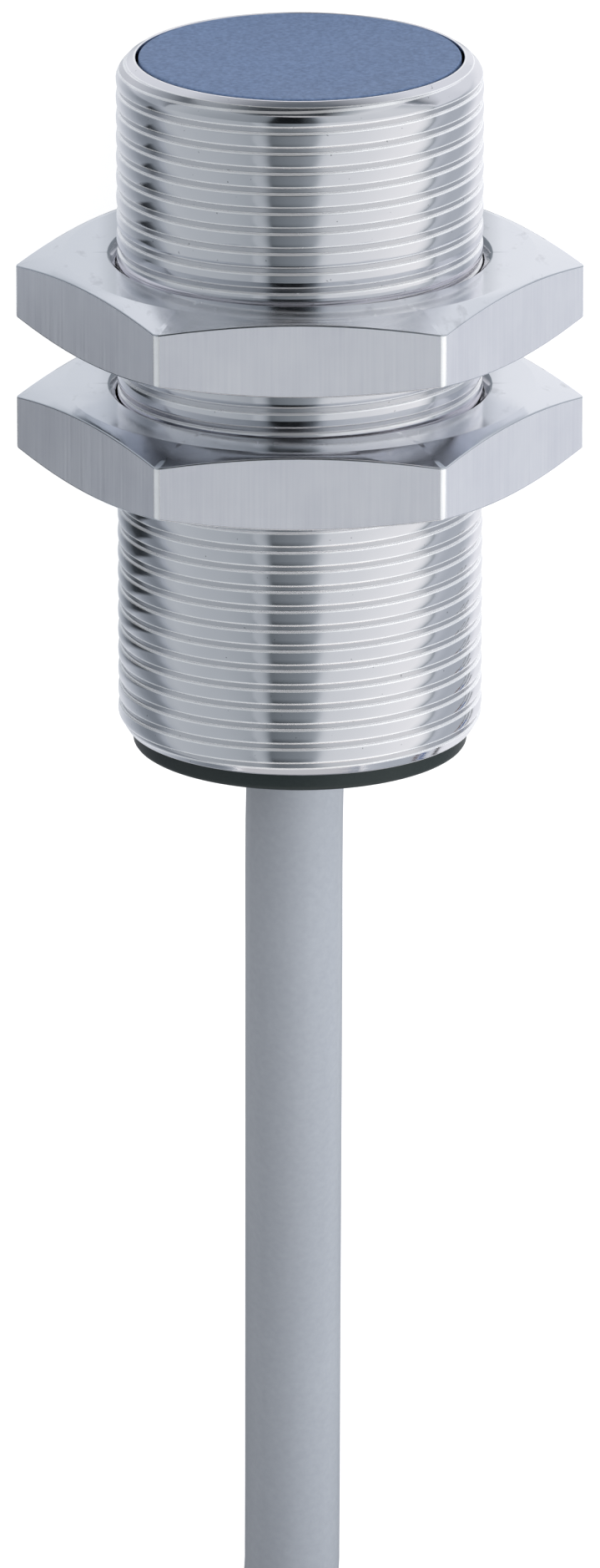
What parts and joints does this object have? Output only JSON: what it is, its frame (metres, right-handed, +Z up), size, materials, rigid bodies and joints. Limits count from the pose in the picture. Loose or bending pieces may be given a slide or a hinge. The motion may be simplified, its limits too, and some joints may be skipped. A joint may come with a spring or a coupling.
{
  "type": "inductive proximity sensor",
  "caption": "Cylindrical metal proximity sensor with a blue sensing face, two hexagonal lock nuts and a fixed grey cable stored in a strapped hank.",
  "frame": {"origin": "on the ground under the middle of the barrel's length, halfway between its ends and its sides, the free cable left out", "axes": "+Y along the sensor's axis from the sensing face towards the cable, +Z up, so each nut rests on one flat"},
  "size_m": [0.0452, 0.1828, 0.027],
  "materials": {
    "nickel": "bright nickel plate on brass",
    "blue_plastic": "fine matt moulded plastic",
    "black_plastic": "satin moulded plastic",
    "grey_cable": "matt grey PVC",
    "seal_rubber": "matt",
    "ferrite": "sintered, matt",
    "natural_plastic": "moulded",
    "copper": "enamelled wire",
    "brass": "turned",
    "board": "solder mask on glass laminate",
    "chip_black": "moulded epoxy",
    "capacitor_tan": "ceramic",
    "resin": "cast resin",
    "core_brown": "extruded PVC",
    "core_blue": "extruded PVC",
    "core_black": "extruded PVC",
    "tin": "tin plate",
    "strap_black": "hook-and-loop fabric"
  },
  "bodies": {
    "sensor": {"threaded_sleeve": "nickel", "sensing_face_cap": "blue_plastic", "cap_seal_ring": "seal_rubber", "ferrite_pot_core": "ferrite", "coil_bobbin": "natural_plastic", "coil_winding": "copper", "shield_ring": "brass", "core_holder": "natural_plastic", "coil_lead_start": "copper", "coil_lead_finish": "copper", "circuit_board": "board", "oscillator_chip": "chip_black", "output_transistor": "chip_black", "smoothing_capacitor": "capacitor_tan", "filter_capacitor": "capacitor_tan", "tuning_resistor": "chip_black", "load_resistor": "chip_black", "polarity_diode": "chip_black", "surge_diode": "chip_black", "rear_end_cap": "black_plastic", "cable_grommet": "seal_rubber", "rear_potting_plug": "resin", "cable_crimp_ring": "brass", "cable_inner_end": "grey_cable", "inner_wire_brown": "core_brown", "inner_wire_blue": "core_blue", "inner_wire_black": "core_black", "cable_run": "grey_cable", "cable_hank": "grey_cable", "hank_strap": "strap_black", "cable_tail": "grey_cable", "lead_brown": "core_brown", "lead_blue": "core_blue", "lead_black": "core_black", "ferrule_brown": "tin", "ferrule_blue": "tin", "ferrule_black": "tin"},
    "front_nut": {"front_nut": "nickel"},
    "rear_nut": {"rear_nut": "nickel"}
  },
  "joints": [
    {"name": "front_nut_travel", "type": "slide", "parent": "sensor", "child": "front_nut", "axis": [0, 1, 0], "range_m": [-0.009, 0.001]},
    {"name": "rear_nut_travel", "type": "slide", "parent": "sensor", "child": "rear_nut", "axis": [0, 1, 0], "range_m": [-0.001, 0.012]}
  ]
}
